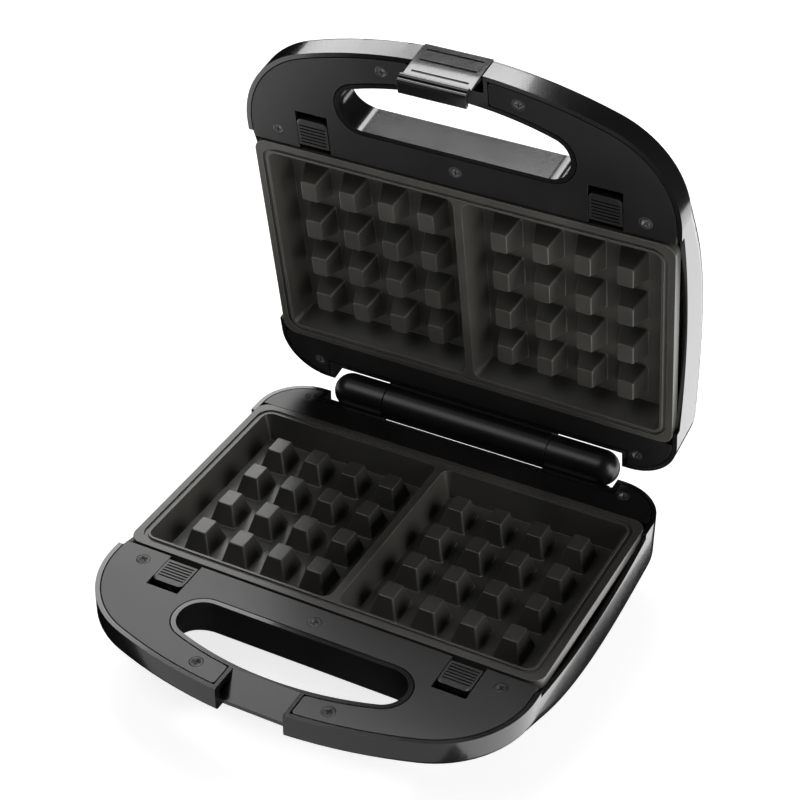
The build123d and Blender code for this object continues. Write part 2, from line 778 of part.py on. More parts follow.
def latch_pin():
    """Steel pin through the handle's cheeks that the latch turns on."""
    with BuildPart() as pin:
        with BuildSketch(Plane.YZ):
            with Locations((latch_pin_y, latch_pin_z)):
                Circle(latch_pin_radius)
        extrude(amount=block_half_width, both=True)
    return pin.part


def latch_spring():
    """Torsion spring round the latch pin, with a leg on the latch and one on the lid."""
    base = (-latch_coil / 2, latch_pin_y, latch_pin_z)
    pitch = latch_coil / latch_turns
    with BuildPart() as spring:
        with BuildLine():
            path = Helix(pitch, latch_coil, latch_spring_radius, center=base, direction=(1, 0, 0))
        with BuildSketch(Plane(origin=path @ 0, z_dir=path % 0)):
            Circle(latch_wire / 2)
        sweep(is_frenet=True)
        for spot in (path @ 0, path @ 1):
            with BuildSketch(Plane(origin=spot, z_dir=(0, 1, 0))):
                Circle(latch_wire / 2)
            extrude(amount=latch_leg)
    return spring.part


def hinge_barrel():
    """The lid's length of the barrel, bored for the hinge pins and the cable."""
    with BuildPart() as tube:
        with BuildSketch(Plane.YZ.offset(-barrel_right)):
            Circle(barrel_radius)
            Circle(pin_radius + pin_clearance, mode=Mode.SUBTRACT)
        extrude(amount=barrel_right - barrel_left)
        fillet(tube.edges().filter_by(GeomType.CIRCLE).sort_by(SortBy.RADIUS)[-2:], barrel_edge)
        add(lead(lid_route, cable_radius + cable_clearance), mode=Mode.SUBTRACT)
    return tube.part


def hinge_cap(start, side):
    """Round-ended cap of the barrel, fixed to the base and bored for its pin."""
    with BuildPart() as cap:
        with BuildSketch(Plane.XY):
            with BuildLine():
                shoulder = side * (cap_end - barrel_radius)
                Polyline((side * cap_end, 0), (start, 0), (start, barrel_radius), (shoulder, barrel_radius))
                tip = barrel_radius * sin(radians(45))
                ThreePointArc((shoulder, barrel_radius), (shoulder + side * tip, tip), (side * cap_end, 0))
            make_face()
        revolve(axis=Axis.X)
        with BuildSketch(Plane.YZ.offset(start)):
            Circle(pin_radius)
        extrude(amount=side * pin_reach, mode=Mode.SUBTRACT)
        if side < 0:
            add(lead(hinge_route, cable_radius + cable_clearance), mode=Mode.SUBTRACT)
    return cap.part


def hinge_pin(joint, side):
    """Steel tube pressed into a cap, on which the barrel turns."""
    with BuildPart() as pin:
        with BuildSketch(Plane.YZ.offset(joint)):
            Circle(pin_radius)
            Circle(pin_bore, mode=Mode.SUBTRACT)
        extrude(amount=side * (pin_reach + barrel_gap))
        extrude(pin.faces().sort_by(Axis.X)[0 if side > 0 else -1], amount=pin_reach)
    return pin.part


def feet():
    """Rubber feet, one solid each."""
    with BuildPart() as group:
        with BuildSketch(Plane.XY.offset(feet_plane)):
            with Locations(*both_sides(*foot_places)):
                Circle(foot_radius)
        extrude(amount=foot_height)
        chamfer(group.edges().group_by(Axis.Z)[0], foot_edge)
    return group.part


def cord_inlet():
    """Rubber grommet in the back wall, where the mains lead would come out."""
    outside = -notch_setback
    inside = outside - wall
    with BuildPart() as grommet:
        for start, length, radius in ((outside, inlet_lip, inlet_flange), (inside, wall, inlet_radius),
                                      (inside - inlet_back, inlet_back, inlet_flange)):
            with BuildSketch(Plane(origin=(0, start, inlet_level), z_dir=(0, 1, 0))):
                Circle(radius)
                Circle(inlet_bore, mode=Mode.SUBTRACT)
            extrude(amount=length)
    return grommet.part


def terminal_block():
    """Moulded block on two posts, with three wire holes."""
    with BuildPart() as block:
        with Locations((block_middle, block_y, wire_level)):
            Box(*block_size, block_height)
        with BuildSketch(Plane.XZ.offset(block_size[1] - block_y)):
            with Locations((block_middle, wire_level)):
                with GridLocations(terminal_pitch, 1, 3, 1):
                    Circle(cable_radius + terminal_clearance)
        extrude(amount=-2 * block_size[1], mode=Mode.SUBTRACT)
    return block.part


def thermostat():
    """Bimetal disc thermostat under the pan, with two blade terminals."""
    with BuildPart() as switch:
        with BuildSketch(Plane.XY.offset(pan_floor - pan_sheet)):
            with Locations((0, stud_centre)):
                Circle(thermostat_radius)
        extrude(amount=-thermostat_depth)
        with Locations(*[(side * blade_place, stud_centre, wire_level) for side in (-1, 1)]):
            Box(*blade_size)
    return switch.part


def thermal_fuse():
    """Sleeved thermal fuse clamped under the pan."""
    with BuildPart() as fuse:
        with BuildSketch(Plane.YZ.offset(fuse_ends[0])):
            with Locations((stud_centre, wire_level)):
                Circle(fuse_radius)
        extrude(amount=fuse_ends[1] - fuse_ends[0])
        depth = pan_floor - pan_sheet - wire_level + fuse_radius
        with Locations((sum(fuse_ends) / 2, stud_centre, pan_floor - pan_sheet - depth / 2)):
            Box(clamp_size, clamp_size, depth)
    return fuse.part


def lead(points, radius):
    """One insulated wire along straight runs with rounded bends."""
    with BuildPart() as wire:
        with BuildLine():
            route = FilletPolyline(*points, radius=wire_bend)
        with BuildSketch(Plane(origin=route @ 0, z_dir=route % 0)):
            Circle(radius)
        sweep()
    return wire.part


def element_lead(y, *points):
    """Lead from one end of the heating rod, down through the pan and on to points."""
    start = element_end + terminal_pin[1]
    drop = [(start, y, element_level), (wire_reach, y, element_level), (wire_reach, y, wire_level)]
    return lead([*drop, *points], lead_radius)


def base_wiring():
    """Hinge cable to the terminal block, and the element's leads by way of the fuse."""
    near, far = rod_places
    terminals = [block_middle + step * terminal_pitch for step in (-1, 0, 1)]
    with BuildPart() as loom:
        add(lead([*hinge_route, (cap_bend, block_y + 15, wire_level),
                  (terminals[1], block_y + 12, wire_level), (terminals[1], block_y + 2, wire_level)],
                 cable_radius))
        add(element_lead(far, (terminals[2], far, wire_level), (terminals[2], block_y - 2, wire_level)))
        add(element_lead(near, (-15, near, wire_level), (-15, stud_centre, wire_level),
                         (fuse_ends[1], stud_centre, wire_level)))
        turn = fuse_ends[0] - 8
        add(lead([(fuse_ends[0], stud_centre, wire_level), (turn, stud_centre, wire_level),
                  (turn, far + 6, wire_level), (terminals[0], far + 6, wire_level),
                  (terminals[0], block_y - 2, wire_level)], lead_radius))
    return loom.part


def lid_wiring():
    """Hinge cable to the thermostat, and the two leads of the lid's element."""
    near, far = rod_places
    x = lid_bend
    blade_end = blade_place + blade_size[0] / 2
    with BuildPart() as loom:
        add(lead([*lid_route, (x, cable_drop[0] - 2, wire_level), (x, stud_centre, wire_level),
                  (blade_end, stud_centre, wire_level)], cable_radius))
        add(element_lead(far, (x, far, wire_level)))
        add(element_lead(near, (-20, near, wire_level), (-20, stud_centre, wire_level),
                         (-blade_end, stud_centre, wire_level)))
    return loom.part


# ---- pieces made once and used in both halves ------------------------------------------------
shared = (
    ("handle_cover", front_cover()),
    ("rear_cover", rear_cover()),
    ("waffle_plate", waffle_plate()),
    ("heat_pan", heat_pan()),
    ("heating_element", element()),
    ("element_cradles", element_cradles()),
    ("plate_hooks", plate_hooks()),
    ("cover_screws", screws(front_screws + rear_screws, rim_top, screw_length)),
    ("pan_screws", screws(pan_posts, pan_floor + screw_head_depth, pan_screw_length)),
)
for half, place, mirrored in halves:
    for name, piece in shared:
        write(piece, half + "_" + name, place)
    for end, side in (("left", -1), ("right", 1)):
        write(button(side * mirrored), half + "_button_" + end, place)
        write(coil(side * mirrored), half + "_button_spring_" + end, place)

# ---- base -----------------------------------------------------------------------------------
write(lower_housing(), "lower_housing")
write(feet(), "rubber_feet")
write(cord_inlet(), "cord_inlet")
write(terminal_block(), "terminal_block")
write(thermal_fuse(), "thermal_fuse")
write(base_wiring(), "base_wiring")
for end, side, joint in (("left", -1, barrel_left), ("right", 1, barrel_right)):
    write(hinge_cap(joint + side * barrel_gap, side), "hinge_cap_" + end)
    write(hinge_pin(joint, side), "hinge_pin_" + end)

# ---- lid ------------------------------------------------------------------------------------
write(upper_housing(), "upper_housing", upper)
write(hinge_barrel(), "hinge_barrel", upper)
write(lid_wiring(), "lid_wiring", upper)
write(thermostat(), "thermostat", upper)
write(lamps(), "neon_lamps", upper)
write(lamp_holder(), "lamp_holder", upper)
for colour, side in (("red", -1), ("green", 1)):
    write(lamp_lens(side), colour + "_lens", upper)
write(latch_clip(), "latch_clip", upper)
write(latch_pin(), "latch_pin", upper)
write(latch_spring(), "latch_spring", upper)
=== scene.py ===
import json
import math

import bmesh
import bpy
from mathutils import Matrix, Vector


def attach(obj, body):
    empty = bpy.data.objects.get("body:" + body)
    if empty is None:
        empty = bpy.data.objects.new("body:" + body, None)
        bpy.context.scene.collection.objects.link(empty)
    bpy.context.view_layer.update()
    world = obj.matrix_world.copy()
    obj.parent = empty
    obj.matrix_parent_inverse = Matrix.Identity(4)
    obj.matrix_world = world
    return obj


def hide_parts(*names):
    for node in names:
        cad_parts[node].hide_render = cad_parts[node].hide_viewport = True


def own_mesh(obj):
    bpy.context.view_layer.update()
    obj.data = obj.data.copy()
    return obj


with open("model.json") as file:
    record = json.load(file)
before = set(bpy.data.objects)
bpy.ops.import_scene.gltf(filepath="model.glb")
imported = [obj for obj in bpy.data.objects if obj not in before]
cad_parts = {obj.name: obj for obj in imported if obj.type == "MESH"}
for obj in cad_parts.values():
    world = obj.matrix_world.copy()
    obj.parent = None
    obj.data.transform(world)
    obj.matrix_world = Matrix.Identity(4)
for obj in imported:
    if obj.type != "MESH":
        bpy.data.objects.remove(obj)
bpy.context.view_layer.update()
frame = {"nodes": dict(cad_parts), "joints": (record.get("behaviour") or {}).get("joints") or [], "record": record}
nodes = frame["nodes"]
mm = 0.001

# ---- Studio ------------------------------------------------------------------------------------
# A pale paper floor under a sky that is brighter towards the right, with four soft panels round the
# appliance, unseen by the camera. Polished walls don't mirror the floor: three glowing cards that lie
# on it show in them instead.
scene = bpy.context.scene
scene.view_settings.view_transform = "Standard"

floor_reach = 3.0
paper_grey = 0.6
paper_glow = 0.8
mottle_scale = 6
mottle_shade = 0.985                # the mottle's darkest spots, as a share of the paper's grey
sky_sideways = (-0.75, 0.55)        # how far to the right a direction points, where the sky's ramp runs
sky_strength = (0.02, 0.55)
card_height = 0.001
square = ((-1, -1), (1, -1), (1, 1), (-1, 1))       # corners of a square, in turn


def connect(tree, source, output, target, socket):
    tree.links.new(source.outputs[output], target.inputs[socket])


def paper(name):
    """Very slightly mottled matt paper that gives off some light of its own."""
    made = bpy.data.materials.new(name)
    made.use_nodes = True
    tree = made.node_tree
    shader = tree.nodes["Principled BSDF"]
    shader.inputs["Roughness"].default_value = 0.9
    shader.inputs["Specular IOR Level"].default_value = 0.1
    shader.inputs["Emission Color"].default_value = (1, 1, 1, 1)
    shader.inputs["Emission Strength"].default_value = paper_glow
    place = tree.nodes.new("ShaderNodeTexCoord")
    mottle = tree.nodes.new("ShaderNodeTexNoise")
    mottle.inputs["Scale"].default_value = mottle_scale
    ramp = tree.nodes.new("ShaderNodeValToRGB")
    for stop, grey in zip(ramp.color_ramp.elements, (mottle_shade * paper_grey, paper_grey)):
        stop.color = (grey, grey, grey, 1)
    connect(tree, place, "Object", mottle, "Vector")
    connect(tree, mottle, "Fac", ramp, "Fac")
    connect(tree, ramp, "Color", shader, "Base Color")
    return made


floor_mesh = bpy.data.meshes.new("floor")
floor_corners = [(a * floor_reach, b * floor_reach, 0) for a, b in square]
floor_mesh.from_pydata(floor_corners, [], [(0, 1, 2, 3)])
floor_mesh.materials.append(paper("pale_floor"))
floor = bpy.data.objects.new("floor", floor_mesh)
scene.collection.objects.link(floor)
floor.visible_glossy = False

world = bpy.data.worlds.new("studio_air")
world.use_nodes = True
air = world.node_tree
toward = air.nodes.new("ShaderNodeTexCoord")
split = air.nodes.new("ShaderNodeSeparateXYZ")
fall = air.nodes.new("ShaderNodeMapRange")
fall.inputs["From Min"].default_value, fall.inputs["From Max"].default_value = sky_sideways
fall.inputs["To Min"].default_value, fall.inputs["To Max"].default_value = sky_strength
connect(air, toward, "Generated", split, "Vector")
connect(air, split, "X", fall, "Value")
connect(air, fall, "Result", air.nodes["Background"], "Strength")
scene.world = world


def panel(name, spot, target, width, height, glow):
    """Soft rectangular light facing its target, unseen by the camera, as bright as glow says."""
    light = bpy.data.lights.new(name, "AREA")
    light.shape = "RECTANGLE"
    light.size = width
    light.size_y = height
    light.energy = glow * math.pi * width * height
    lamp = bpy.data.objects.new(name, light)
    lamp.location = spot
    lamp.rotation_euler = (Vector(target) - Vector(spot)).to_track_quat("-Z", "Y").to_euler()
    lamp.visible_camera = False
    scene.collection.objects.link(lamp)


def card(name, x, y, width, height, glow):
    """Panel lying just above the floor and facing up."""
    panel(name, (x, y, card_height), (x, y, 1), width, height, glow)


panel("right_panel", spot=(1.5, 0.1, 0.45), target=(0, 0, 0.12), width=1.2, height=1.2, glow=4.2)
panel("back_panel", spot=(-0.95, 1.5, 1.2), target=(0, 0, 0.05), width=1.3, height=0.8, glow=4.5)
panel("top_panel", spot=(-0.45, 0.75, 1.6), target=(0, 0, 0.1), width=0.7, height=0.5, glow=9)
panel("front_panel", spot=(-0.65, -0.7, 1.45), target=(0, 0, 0.05), width=0.9, height=0.8, glow=2.4)
card("right_card", x=0.43, y=0.2, width=0.6, height=0.8, glow=2.0)
card("front_card", x=0.3, y=-0.55, width=0.86, height=0.8, glow=0.6)
card("left_card", x=-0.5, y=-0.2, width=0.5, height=0.8, glow=1.7)

camera_spot = Vector((0.3696, -0.71116, 0.70132))
camera_aim = Vector((-0.37099, 0.72354, -0.58211))
camera_roll = math.radians(0.47)
camera = bpy.data.objects.new("camera", bpy.data.cameras.new("camera"))
camera.data.sensor_width = 36.0
camera.data.lens = 90.96
camera.location = camera_spot
turned = camera_aim.to_track_quat("-Z", "Y").to_matrix().to_4x4() @ Matrix.Rotation(camera_roll, 4, "Z")
camera.rotation_euler = turned.to_euler()
scene.collection.objects.link(camera)
scene.camera = camera

# ---- Housings ----------------------------------------------------------------------------------
# Two injection-moulded shells in polished black plastic. Each edge keeps the small radius of its
# mould, which catches the light as a fine line round the rim, the handle and the finger opening.
joints = {joint["name"]: joint for joint in frame["joints"]}
hinge = Vector(joints["lid_hinge"]["pos_m"])
open_angle = math.radians(-joints["lid_hinge"]["range_deg"][0])
half_place = {
    "lower": Matrix.Translation(hinge),
    "upper": (Matrix.Translation(hinge) @ Matrix.Rotation(-open_angle, 4, "X")
              @ Matrix.Rotation(math.pi, 4, "Y")),
}
half_body = {"lower": "base", "upper": "lid"}
shell_radius = 0.35 * mm
join_distance = 0.004 * mm          # corners nearer than this are one corner
flat_angle = math.radians(0.6)      # faces that turn less than this are one flat face

cloud_scale = 22                    # broad clouds in colour and gloss
cloud_band = (0.35, 0.68)           # where the clouds run from the dark colour to the light one
gloss_band = (0.3, 0.7)             # where the mixed noise runs from the first roughness to the second
relief_strength = 0.6
coat_roughness = 0.06
worn_reach = 0.35 * mm              # how far from an edge its wear reaches
worn_turn = (0.99, 0.90)            # cosine of the turn between face and edge where wear starts and is full
worn_most = 0.75
worn_paler = 2.5                    # how much lighter worn edges are, where no colour is given for them


def surface(name, dark, light, rough, grain, relief, metallic=0.0, coat=0.0, worn=None, stretch=(1, 1, 1)):
    """Finish with colour variation, uneven gloss, fine relief and lighter worn edges."""
    made = bpy.data.materials.new(name)
    made.use_nodes = True
    tree = made.node_tree
    shader = tree.nodes["Principled BSDF"]
    shader.inputs["Metallic"].default_value = metallic
    shader.inputs["Coat Weight"].default_value = coat
    shader.inputs["Coat Roughness"].default_value = coat_roughness
    place = tree.nodes.new("ShaderNodeTexCoord")
    mapping = tree.nodes.new("ShaderNodeMapping")
    mapping.inputs["Scale"].default_value = stretch
    connect(tree, place, "Object", mapping, "Vector")
    cloud = tree.nodes.new("ShaderNodeTexNoise")
    cloud.inputs["Scale"].default_value = cloud_scale
    cloud.inputs["Detail"].default_value = 4
    connect(tree, mapping, "Vector", cloud, "Vector")
    fine = tree.nodes.new("ShaderNodeTexNoise")
    fine.inputs["Scale"].default_value = grain
    fine.inputs["Detail"].default_value = 3
    connect(tree, mapping, "Vector", fine, "Vector")

    colour = tree.nodes.new("ShaderNodeValToRGB")
    for stop, position, tone in zip(colour.color_ramp.elements, cloud_band, (dark, light)):
        stop.position = position
        stop.color = (*tone, 1)
    connect(tree, cloud, "Fac", colour, "Fac")
    face = tree.nodes.new("ShaderNodeNewGeometry")
    edge = tree.nodes.new("ShaderNodeBevel")
    edge.samples = 4
    edge.inputs["Radius"].default_value = worn_reach
    turn = tree.nodes.new("ShaderNodeVectorMath")
    turn.operation = "DOT_PRODUCT"
    connect(tree, face, "True Normal", turn, 0)
    connect(tree, edge, "Normal", turn, 1)
    mask = tree.nodes.new("ShaderNodeMapRange")
    mask.inputs["From Min"].default_value, mask.inputs["From Max"].default_value = worn_turn
    mask.inputs["To Max"].default_value = worn_most
    connect(tree, turn, "Value", mask, "Value")
    rub = tree.nodes.new("ShaderNodeMix")
    rub.data_type = "RGBA"
    rub.inputs["B"].default_value = (*(worn or [min(1, worn_paler * channel) for channel in light]), 1)
    connect(tree, mask, "Result", rub, "Factor")
    connect(tree, colour, "Color", rub, "A")
    connect(tree, rub, "Result", shader, "Base Color")

    half_fine = tree.nodes.new("ShaderNodeMath")
    half_fine.operation = "MULTIPLY"
    half_fine.inputs[1].default_value = 0.5
    mixed = tree.nodes.new("ShaderNodeMath")
    mixed.operation = "MULTIPLY_ADD"
    mixed.inputs[1].default_value = 0.5
    gloss = tree.nodes.new("ShaderNodeMapRange")
    gloss.inputs["From Min"].default_value, gloss.inputs["From Max"].default_value = gloss_band
    gloss.inputs["To Min"].default_value, gloss.inputs["To Max"].default_value = rough
    connect(tree, fine, "Fac", half_fine, 0)
    connect(tree, cloud, "Fac", mixed, 0)
    connect(tree, half_fine, "Value", mixed, 2)
    connect(tree, mixed, "Value", gloss, "Value")
    connect(tree, gloss, "Result", shader, "Roughness")
    bump = tree.nodes.new("ShaderNodeBump")
    bump.inputs["Strength"].default_value = relief_strength
    bump.inputs["Distance"].default_value = relief
    connect(tree, fine, "Fac", bump, "Height")
    connect(tree, bump, "Normal", shader, "Normal")
    return made


def merged(node, whole=True):
    """Copy of a node's mesh with its loose triangles joined and, if whole, its flat regions too."""
    shape = bmesh.new()
    shape.from_mesh(nodes[node].data)
    bmesh.ops.remove_doubles(shape, verts=shape.verts, dist=join_distance)
    if whole:
        bmesh.ops.dissolve_limit(shape, angle_limit=flat_angle, verts=shape.verts, edges=shape.edges)
    return shape


def smooth_mesh(shape, name, sharp_above=math.pi):
    """Turns a finished shape into a smooth mesh whose edges above an angle stay sharp."""
    mesh = bpy.data.meshes.new(name)
    shape.to_mesh(mesh)
    shape.free()
    for face in mesh.polygons:
        face.use_smooth = True
    mesh.set_sharp_from_angle(angle=sharp_above)
    return mesh


def linked(name, mesh):
    """New object at the origin that shows a mesh."""
    made = bpy.data.objects.new(name, mesh)
    scene.collection.objects.link(made)
    return made


def applied(made):
    """Puts the result of an object's modifiers in its mesh."""
    view = bpy.context.evaluated_depsgraph_get()
    result = bpy.data.meshes.new_from_object(made.evaluated_get(view))
    made.modifiers.clear()
    made.data = result


def even_normals(made):
    """Keeps flat faces flat in the light, with all the turning left to their rounded edges."""
    even = made.modifiers.new("even_normals", "WEIGHTED_NORMAL")
    even.mode = "FACE_AREA"
    even.weight = 100
    even.keep_sharp = True


def rounded(shape, name, material, body, radius, segments=2, least=28):
    """Piece that rides on a body, with its edges of at least so many degrees rounded to a radius."""
    mesh = smooth_mesh(shape, name)
    mesh.materials.append(material)
    made = linked(name, mesh)
    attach(made, body)
    bevel = made.modifiers.new("mould_radius", "BEVEL")
    bevel.width = radius
    bevel.segments = segments
    bevel.limit_method = "ANGLE"
    bevel.angle_limit = math.radians(least)
    bevel.miter_outer = "MITER_ARC"
    bevel.use_clamp_overlap = True
    even_normals(made)
    applied(made)
    return made


black_gloss = surface("polished_black_plastic", dark=(0.004, 0.004, 0.0042), light=(0.007, 0.007, 0.0074),
                      rough=(0.13, 0.24), grain=900, relief=0.02 * mm, coat=0.35)
for half, body in half_body.items():
    shell = rounded(merged(half + "_housing"), half + "_shell", black_gloss, body, shell_radius)
    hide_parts(half + "_housing")

# ---- Covers ------------------------------------------------------------------------------------
# Flat satin mouldings let into the housings, screwed down from the front, with a fine spark texture
# and a small radius round each opening.
cover_radius = 0.3 * mm
satin = surface("satin_charcoal_plastic", dark=(0.005, 0.005, 0.0052), light=(0.009, 0.009, 0.0094),
                rough=(0.30, 0.41), grain=1600, relief=0.03 * mm, worn=(0.03, 0.03, 0.03))
for half, body in half_body.items():
    for part in ("_handle_cover", "_rear_cover"):
        cover = rounded(merged(half + part), half + part + "_skin", satin, body, cover_radius)
        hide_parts(half + part)

# ---- Waffle plates -----------------------------------------------------------------------------
# Die-cast aluminium plates under a warm grey-black non-stick coating. The plate is the casting's
# tray, and its studs are one tapered form repeated in each cavity.
coating = surface("nonstick_coating", dark=(0.040, 0.039, 0.034), light=(0.062, 0.060, 0.052),
                  rough=(0.27, 0.38), grain=700, relief=0.04 * mm, worn=(0.30, 0.29, 0.26))
stud_centre = -98.4 * mm            # middle of the plate, from the hinge axis
cavity_middle = 54.04 * mm
cavity_floor = -15.1 * mm
stud_pitch = (22.5 * mm, 25.7 * mm)
stud_base = (15.4 * mm, 18.6 * mm)
stud_height = 12.0 * mm
stud_draft = math.radians(15.8)
stud_corner = 1.1 * mm
stud_top_edge = 0.55 * mm
studs_each_way = 4
first_stud = (1 - studs_each_way) / 2
tray_radius = 0.55 * mm
hair = 0.01 * mm                    # heights nearer than this are the same height
stud_spots = [(side * cavity_middle + (i + first_stud) * stud_pitch[0],
               stud_centre + (j + first_stud) * stud_pitch[1], cavity_floor)
              for side in (-1, 1) for i in range(studs_each_way) for j in range(studs_each_way)]


def tray(half):
    """The plate's mesh with its studs cut away and the floor closed under them."""
    shape = merged(half + "_waffle_plate")
    shape.transform(half_place[half].inverted())
    near = 0.2 * mm

    def on_stud(face):
        spot = face.calc_center_median()
        if not cavity_floor + hair < spot.z < cavity_floor + stud_height + near:
            return False
        return any(abs(spot.x - x) < stud_base[0] / 2 + near and abs(spot.y - y) < stud_base[1] / 2 + near
                   for x, y, _ in stud_spots)

    gone = [face for face in shape.faces if on_stud(face)]
    bmesh.ops.delete(shape, geom=gone, context="FACES")
    bmesh.ops.holes_fill(shape, edges=[edge for edge in shape.edges if edge.is_boundary], sides=0)
    shape.transform(half_place[half])
    return shape


def stud_form():
    """One tapered stud with softened edges and a small flare where it meets the floor."""
    inset = stud_height * math.tan(stud_draft)
    # Each level is how far its outline stands out past the stud's base, and its height over the floor.
    levels = [(1.0 * mm, -0.4 * mm), (0.25 * mm, 0.02 * mm), (-0.2 * mm, 0.5 * mm), (-inset, stud_height)]
    shape = bmesh.new()
    rings = []
    for grow, height in levels:
        x = stud_base[0] / 2 + grow
        y = stud_base[1] / 2 + grow
        rings.append([shape.verts.new((a * x, b * y, height)) for a, b in square])
    for below, above in zip(rings, rings[1:]):
        for k in range(4):
            shape.faces.new((below[k], below[(k + 1) % 4], above[(k + 1) % 4], above[k]))
    shape.faces.new(rings[0][::-1])
    shape.faces.new(rings[-1])
    upright = [e for e in shape.edges if abs(e.verts[0].co.z - e.verts[1].co.z) > hair]
    bmesh.ops.bevel(shape, geom=upright, offset=stud_corner, segments=3, profile=0.5, affect="EDGES")
    top = [e for e in shape.edges if min(v.co.z for v in e.verts) > stud_height - hair]
    bmesh.ops.bevel(shape, geom=top, offset=stud_top_edge, segments=3, profile=0.5, affect="EDGES")
    return shape


def node_tree(name, sizes):
    """Geometry node tree with named inputs and one geometry output."""
    tree = bpy.data.node_groups.new(name, "GeometryNodeTree")
    tree.interface.new_socket("Geometry", in_out="INPUT", socket_type="NodeSocketGeometry")
    for label, kind in sizes:
        tree.interface.new_socket(label, in_out="INPUT", socket_type=kind)
    tree.interface.new_socket("Geometry", in_out="OUTPUT", socket_type="NodeSocketGeometry")
    return tree, tree.nodes.new("NodeGroupInput"), tree.nodes.new("NodeGroupOutput")


def end_tree(tree, last, outlet, given, out):
    """Every tree ends by making its instances real and giving them their material."""
    real = tree.nodes.new("GeometryNodeRealizeInstances")
    paint = tree.nodes.new("GeometryNodeSetMaterial")
    connect(tree, last, outlet, real, "Geometry")
    connect(tree, real, "Geometry", paint, "Geometry")
    connect(tree, given, "Material", paint, "Material")
    connect(tree, paint, "Geometry", out, "Geometry")


def repeat_tree(name):
    """Copies a form onto every point of the mesh it is given, each turned by chance about Z."""
    tree, given, out = node_tree(name, [("Form", "NodeSocketObject"), ("Turn", "NodeSocketFloat"),
                                        ("Seed", "NodeSocketInt"), ("Material", "NodeSocketMaterial")])
    form = tree.nodes.new("GeometryNodeObjectInfo")
    copies = tree.nodes.new("GeometryNodeInstanceOnPoints")
    chance = tree.nodes.new("FunctionNodeRandomValue")
    chance.inputs["Min"].default_value = 0.0
    angles = tree.nodes.new("ShaderNodeCombineXYZ")
    connect(tree, given, "Form", form, "Object")
    connect(tree, given, "Geometry", copies, "Points")
    connect(tree, form, "Geometry", copies, "Instance")
    connect(tree, given, "Turn", chance, "Max")
    connect(tree, given, "Seed", chance, "Seed")
    connect(tree, chance, "Value", angles, "Z")
    connect(tree, angles, "Vector", copies, "Rotation")
    end_tree(tree, copies, "Instances", given, out)
    return tree


def grown(name, tree, values, spots=()):
    """Object whose mesh a geometry node tree makes from the given spots and input values."""
    seeds = bpy.data.meshes.new(name)
    seeds.from_pydata(spots, [], [])
    made = linked(name, seeds)
    growth = made.modifiers.new(name, "NODES")
    growth.node_group = tree
    for item in tree.interface.items_tree:
        if item.in_out == "INPUT" and item.name in values:
            growth[item.identifier] = values[item.name]
    bpy.context.view_layer.update()
    applied(made)
    return made


repeat = repeat_tree("repeat_form")
pattern_angle = math.radians(50)
stud = linked("stud_form", smooth_mesh(stud_form(), "stud_form", pattern_angle))
for half, body in half_body.items():
    plate = rounded(tray(half), half + "_plate_tray", coating, body, tray_radius, segments=3, least=24)
    stud_values = {"Form": stud, "Turn": 0.0, "Seed": 1, "Material": coating}
    field = grown(half + "_plate_studs", repeat, stud_values, stud_spots)
    field.data.transform(half_place[half])
    even_normals(field)
    applied(field)
    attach(field, body)
    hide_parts(half + "_waffle_plate")
bpy.data.objects.remove(stud)

# ---- Cover screws ------------------------------------------------------------------------------
# Blackened steel screws with a cross recess, seated flush in counterbores round both covers and
# stopped at whatever angle the driver left them.
head_radius = 3.4 * mm
head_depth = 1.25 * mm
head_edge = 0.15 * mm
head_sides = 40
recess_half = 2.1 * mm
recess_width = 0.7 * mm
recess_depth = 0.9 * mm
recess_taper = (0.8, 1.15)          # the recess's width at its bottom and top, as a share
first_screw_seed = 7


def screw_form():
    """Flat head with a rounded rim, standing below its own origin."""
    shape = bmesh.new()
    bmesh.ops.create_cone(shape, cap_ends=True, segments=head_sides, radius1=head_radius, radius2=head_radius,
                          depth=head_depth, matrix=Matrix.Translation((0, 0, -head_depth / 2)))
    rim = [e for e in shape.edges if min(v.co.z for v in e.verts) > -hair]
    bmesh.ops.bevel(shape, geom=rim, offset=head_edge, segments=2, profile=0.5, affect="EDGES")
    return shape


def cross_form():
    """Tapered plus-shaped prism that cuts the driver's recess."""
    shape = bmesh.new()
    arm, half_bar = recess_half, recess_width / 2
    corner = [(arm, -half_bar), (arm, half_bar), (half_bar, half_bar)]
    plan = [Matrix.Rotation(k * math.pi / 2, 2) @ Vector(spot) for k in range(4) for spot in corner]
    rings = [[shape.verts.new((narrow * x, narrow * y, height)) for x, y in plan]
             for height, narrow in zip((-recess_depth, recess_depth), recess_taper)]
    for k in range(len(plan)):
        n = (k + 1) % len(plan)
        shape.faces.new((rings[0][k], rings[0][n], rings[1][n], rings[1][k]))
    shape.faces.new(rings[0][::-1])
    shape.faces.new(rings[1])
    return shape


def cut(made, cutter):
    """Takes the cutter's form out of an object."""
    tool = made.modifiers.new("cut", "BOOLEAN")
    tool.operation = "DIFFERENCE"
    tool.solver = "EXACT"
    tool.object = cutter
    bpy.context.view_layer.update()
    applied(made)


def corners(vertices):
    """Lowest and highest corner of the box round some vertices."""
    sides = list(zip(*(v.co for v in vertices)))
    return Vector([min(side) for side in sides]), Vector([max(side) for side in sides])


def island_tops(node, place):
    """Middle of the top of each separate solid of a node, in its half's own frame."""
    shape = merged(node)
    shape.transform(place.inverted())
    left = set(shape.verts)
    tops = []
    while left:
        group, edge = set(), [left.pop()]
        while edge:
            v = edge.pop()
            group.add(v)
            for e in v.link_edges:
                other = e.other_vert(v)
                if other in left:
                    left.discard(other)
                    edge.append(other)
        low, high = corners(group)
        tops.append(((low.x + high.x) / 2, (low.y + high.y) / 2, high.z))
    shape.free()
    return sorted(tops)


